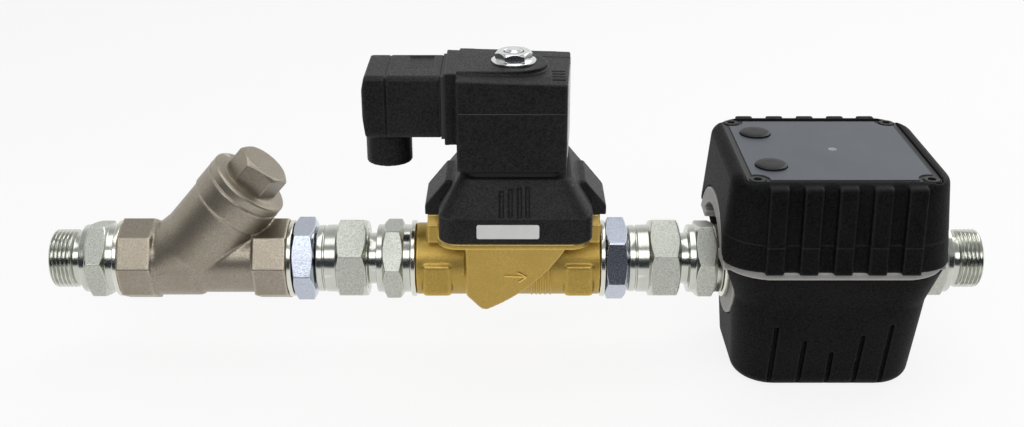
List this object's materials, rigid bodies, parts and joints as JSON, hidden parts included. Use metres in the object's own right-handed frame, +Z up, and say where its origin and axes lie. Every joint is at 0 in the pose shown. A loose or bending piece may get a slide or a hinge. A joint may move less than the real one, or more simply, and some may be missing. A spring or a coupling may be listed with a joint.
{
  "type": "fuel flow meter",
  "caption": "Inline fuel flow meter set on one pipe axis: angled strainer, solenoid valve with cable plug, and a rubber-booted pulse meter, joined by swivel nuts and threaded adapters.",
  "frame": {"origin": "centre of the inlet adapter's thread at its free end face, on the pipe axis", "axes": "+X along the flow from the strainer to the meter, +Y to the back, +Z up towards the coil and the meter face"},
  "size_m": [0.4192, 0.1004, 0.1476],
  "materials": {
    "plated_fittings": "zinc plated, satin",
    "plated_studs": "zinc plated, satin",
    "washer_steel": "zinc plated",
    "cast_stainless": "matte as cast",
    "screen_steel": "woven mesh",
    "seal_rubber": "matte",
    "forged_brass": "satin blasted",
    "servo_plastic": "moulded",
    "bright_steel": "bright zinc",
    "black_polyamide": "fine grain",
    "label_stock": "satin",
    "copper_wire": "enamelled",
    "contact_brass": "tinned",
    "terminal_plastic": "moulded",
    "meter_alloy": "cast and painted",
    "gear_plastic": "moulded",
    "board_green": "solder mask",
    "sensor_black": "moulded",
    "cell_jacket": "shrink sleeve",
    "face_black": "moulded",
    "face_overlay": "satin overlay",
    "button_rubber": "satin",
    "lens_clear": "clear",
    "boot_rubber": "fine grain"
  },
  "bodies": {
    "set": {"armature_tube": "bright_steel", "battery": "cell_jacket", "blank_labels": "label_stock", "bonded_washers": "washer_steel", "button_switches": "terminal_plastic", "case_screws": "bright_steel", "chamber_cover": "meter_alloy", "chamber_gasket": "seal_rubber", "chamber_screws": "bright_steel", "circuit_board": "board_green", "coil_base_seal": "seal_rubber", "coil_housing": "black_polyamide", "coil_nut": "bright_steel", "coil_washer": "bright_steel", "coil_winding": "copper_wire", "coil_yoke_plates": "bright_steel", "cone_rings": "seal_rubber", "contact_pins": "contact_brass", "cover_screws": "bright_steel", "diaphragm": "seal_rubber", "diaphragm_spring": "bright_steel", "electronics_case": "black_polyamide", "face_label": "face_overlay", "faceplate": "face_black", "gear_axles": "bright_steel", "gland_nut": "black_polyamide", "gland_seal": "seal_rubber", "indicator_lens": "lens_clear", "inlet_adapter": "plated_fittings", "lower_boot": "boot_rubber", "meter_body": "meter_alloy", "meter_inlet_adapter": "plated_fittings", "outlet_adapter": "plated_fittings", "plug_gasket": "seal_rubber", "plug_housing": "black_polyamide", "plug_screw": "bright_steel", "plunger_spring": "bright_steel", "pulse_sensor": "sensor_black", "strainer_body": "cast_stainless", "strainer_cap_gasket": "seal_rubber", "strainer_outlet_stud": "plated_studs", "terminal_block": "terminal_plastic", "upper_boot": "boot_rubber", "valve_body": "forged_brass", "valve_cover": "black_polyamide", "valve_inlet_adapter": "plated_fittings", "valve_outlet_stud": "plated_studs"},
    "gear_a": {"measuring_gear_a": "gear_plastic", "gear_magnets": "bright_steel"},
    "gear_b": {"measuring_gear_b": "gear_plastic"},
    "front_button": {"button_front": "button_rubber"},
    "rear_button": {"button_rear": "button_rubber"},
    "plunger": {"armature_plunger": "bright_steel", "pilot_seal": "seal_rubber"},
    "servo_disc": {"diaphragm_disc": "servo_plastic"},
    "strainer_nut": {"strainer_swivel_nut": "plated_fittings"},
    "valve_nut": {"valve_swivel_nut": "plated_fittings"},
    "screen": {"strainer_screen": "screen_steel"},
    "cap": {"strainer_cap": "cast_stainless"}
  },
  "joints": [
    {"name": "gear_a_spin", "type": "hinge", "parent": "set", "child": "gear_a", "pos_m": [0.34615, -0.01, -0.0256], "axis": [0, 0, 1], "continuous": true},
    {"name": "gear_b_spin", "type": "hinge", "parent": "set", "child": "gear_b", "pos_m": [0.34615, 0.01, -0.0256], "axis": [0, 0, 1], "continuous": true},
    {"name": "front_button_press", "type": "slide", "parent": "set", "child": "front_button", "axis": [0, 0, -1], "range_m": [0, 0.001], "stiffness_N_per_m": 800},
    {"name": "rear_button_press", "type": "slide", "parent": "set", "child": "rear_button", "axis": [0, 0, -1], "range_m": [0, 0.001], "stiffness_N_per_m": 800},
    {"name": "plunger_lift", "type": "slide", "parent": "set", "child": "plunger", "axis": [0, 0, 1], "range_m": [0, 0.002], "stiffness_N_per_m": 300, "deforming": ["plunger_spring"]},
    {"name": "servo_disc_lift", "type": "slide", "parent": "set", "child": "servo_disc", "axis": [0, 0, 1], "range_m": [0, 0.004], "stiffness_N_per_m": 400, "deforming": ["diaphragm_spring"]},
    {"name": "strainer_nut_turn", "type": "hinge", "parent": "set", "child": "strainer_nut", "pos_m": [0.1312, 0, 0], "axis": [1, 0, 0], "continuous": true},
    {"name": "valve_nut_turn", "type": "hinge", "parent": "set", "child": "valve_nut", "pos_m": [0.2715, 0, 0], "axis": [1, 0, 0], "continuous": true},
    {"name": "screen_slide", "type": "slide", "parent": "set", "child": "screen", "axis": [0.6561, 0, 0.7547], "range_m": [0, 0.01]},
    {"name": "cap_turn", "type": "hinge", "parent": "screen", "child": "cap", "pos_m": [0.0583, 0, 0], "axis": [0.6561, 0, 0.7547], "range_deg": [0, 1800]}
  ],
  "couplings": [
    {"joint": "gear_b_spin", "follows": "gear_a_spin", "ratio": -1},
    {"joint": "cap_turn", "follows": "screen_slide", "rad_per_m": 3141.6}
  ]
}
